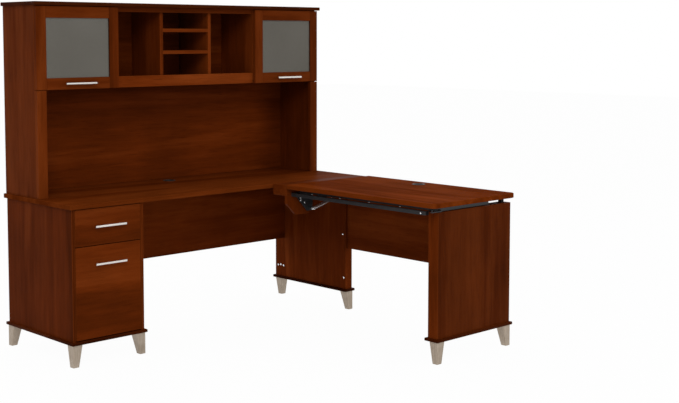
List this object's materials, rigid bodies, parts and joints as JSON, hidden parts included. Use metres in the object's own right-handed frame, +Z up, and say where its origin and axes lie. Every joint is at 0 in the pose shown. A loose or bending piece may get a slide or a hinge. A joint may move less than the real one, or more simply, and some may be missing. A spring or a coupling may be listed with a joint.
{
  "type": "corner desk",
  "caption": "L-shaped desk with a drawer pedestal, a hutch with glazed doors and open cubbies, and a return whose top lifts on a parallel linkage.",
  "frame": {"origin": "middle of the outline, on the floor", "axes": "+Z up, +X along the main desk to the right, -Y towards the free end of the return"},
  "size_m": [1.834, 1.738, 1.696],
  "materials": {
    "cherry_wood": "satin red cherry laminate",
    "dark_wood": "satin dark brown edge",
    "drawer_wood": "plain laminated board",
    "foot_metal": "satin champagne",
    "black_plastic": "matt black",
    "zinc_steel": "bright zinc",
    "polished_steel": "hard chromed",
    "satin_nickel": "satin nickel",
    "frosted_glass": "frosted",
    "black_steel": "black powder coat",
    "black_rubber": "matt"
  },
  "bodies": {
    "frame": {"desktop_main": "cherry_wood", "grommet_main": "black_plastic", "pedestal_side_left": "cherry_wood", "pedestal_side_right": "cherry_wood", "pedestal_back": "cherry_wood", "pedestal_stretcher": "cherry_wood", "pedestal_base": "dark_wood", "pedestal_feet": "foot_metal", "leg_feet": "foot_metal", "leg_main": "cherry_wood", "leg_main_base": "dark_wood", "modesty_main": "cherry_wood", "drawer_rails": "zinc_steel", "hutch_top": "cherry_wood", "hutch_side_left": "cherry_wood", "hutch_side_right": "cherry_wood", "hutch_partitions": "cherry_wood", "hutch_floor": "cherry_wood", "hutch_back": "cherry_wood", "hutch_stiles": "cherry_wood", "cubby_dividers": "cherry_wood", "cubby_shelves": "cherry_wood", "cabinet_shelves": "cherry_wood", "hutch_rail_top": "cherry_wood", "hutch_rail_bottom": "cherry_wood", "hinge_plates": "zinc_steel", "joint_block": "cherry_wood", "joint_cleat": "cherry_wood", "gusset": "cherry_wood", "modesty_return": "cherry_wood", "leg_return": "cherry_wood", "leg_return_base": "dark_wood", "lift_lower_frame": "black_steel", "rest_pads": "black_rubber"},
    "top_drawer": {"drawer_top_front": "cherry_wood", "drawer_top_box": "drawer_wood", "drawer_top_bottom": "drawer_wood", "drawer_top_handle": "satin_nickel", "drawer_top_slides": "zinc_steel"},
    "file_drawer": {"drawer_file_front": "cherry_wood", "drawer_file_box": "drawer_wood", "drawer_file_bottom": "drawer_wood", "drawer_file_handle": "satin_nickel", "drawer_file_slides": "zinc_steel"},
    "left_door": {"door_left_frame": "cherry_wood", "door_left_glass": "frosted_glass", "door_left_handle": "satin_nickel", "door_left_hinges": "zinc_steel"},
    "right_door": {"door_right_frame": "cherry_wood", "door_right_glass": "frosted_glass", "door_right_handle": "satin_nickel", "door_right_hinges": "zinc_steel"},
    "driven_arms": {"lift_arms_driven": "black_steel"},
    "idle_arms": {"lift_arms_idle": "black_steel"},
    "work_surface": {"lift_top": "cherry_wood", "grommet_return": "black_plastic", "lift_upper_frame": "black_steel"},
    "lever": {"release_lever": "black_steel"},
    "spring_tube": {"gas_spring_tube": "zinc_steel"},
    "spring_rod": {"gas_spring_rod": "polished_steel"}
  },
  "joints": [
    {"name": "top_drawer_slide", "type": "slide", "parent": "frame", "child": "top_drawer", "axis": [0, -1, 0], "range_m": [0, 0.38]},
    {"name": "file_drawer_slide", "type": "slide", "parent": "frame", "child": "file_drawer", "axis": [0, -1, 0], "range_m": [0, 0.38]},
    {"name": "left_door_hinge", "type": "hinge", "parent": "frame", "child": "left_door", "pos_m": [-0.905, 0.571, 1.475], "axis": [0, 0, -1], "range_deg": [0, 105]},
    {"name": "right_door_hinge", "type": "hinge", "parent": "frame", "child": "right_door", "pos_m": [0.905, 0.571, 1.475], "axis": [0, 0, 1], "range_deg": [0, 105]},
    {"name": "lift_arm_hinge", "type": "hinge", "parent": "frame", "child": "driven_arms", "pos_m": [0.475, -0.317, 0.68], "axis": [0, -1, 0], "range_deg": [0, 70]},
    {"name": "idle_arm_hinge", "type": "hinge", "parent": "frame", "child": "idle_arms", "pos_m": [0.383, -0.317, 0.706], "axis": [0, -1, 0], "range_deg": [0, 70]},
    {"name": "top_level_hinge", "type": "hinge", "parent": "driven_arms", "child": "work_surface", "pos_m": [0.77459, -0.317, 0.6957], "axis": [0, -1, 0], "range_deg": [-70, 0]},
    {"name": "spring_tube_hinge", "type": "hinge", "parent": "frame", "child": "spring_tube", "pos_m": [0.467, 0.009, 0.63], "axis": [0, -1, 0], "range_deg": [0, 60.84]},
    {"name": "spring_rod_hinge", "type": "hinge", "parent": "driven_arms", "child": "spring_rod", "pos_m": [0.70468, 0.009, 0.69204], "axis": [0, -1, 0], "range_deg": [-10.16, 0]},
    {"name": "release_lever_hinge", "type": "hinge", "parent": "work_surface", "child": "lever", "pos_m": [0.3815, -0.842, 0.7245], "axis": [0, 1, 0], "range_deg": [0, 10], "stiffness_Nm_per_rad": 1.5}
  ],
  "couplings": [
    {"joint": "idle_arm_hinge", "follows": "lift_arm_hinge", "ratio": 1},
    {"joint": "top_level_hinge", "follows": "lift_arm_hinge", "ratio": -1},
    {"joint": "spring_tube_hinge", "follows": "lift_arm_hinge", "ratio": 0.862},
    {"joint": "spring_rod_hinge", "follows": "lift_arm_hinge", "ratio": -0.138}
  ]
}
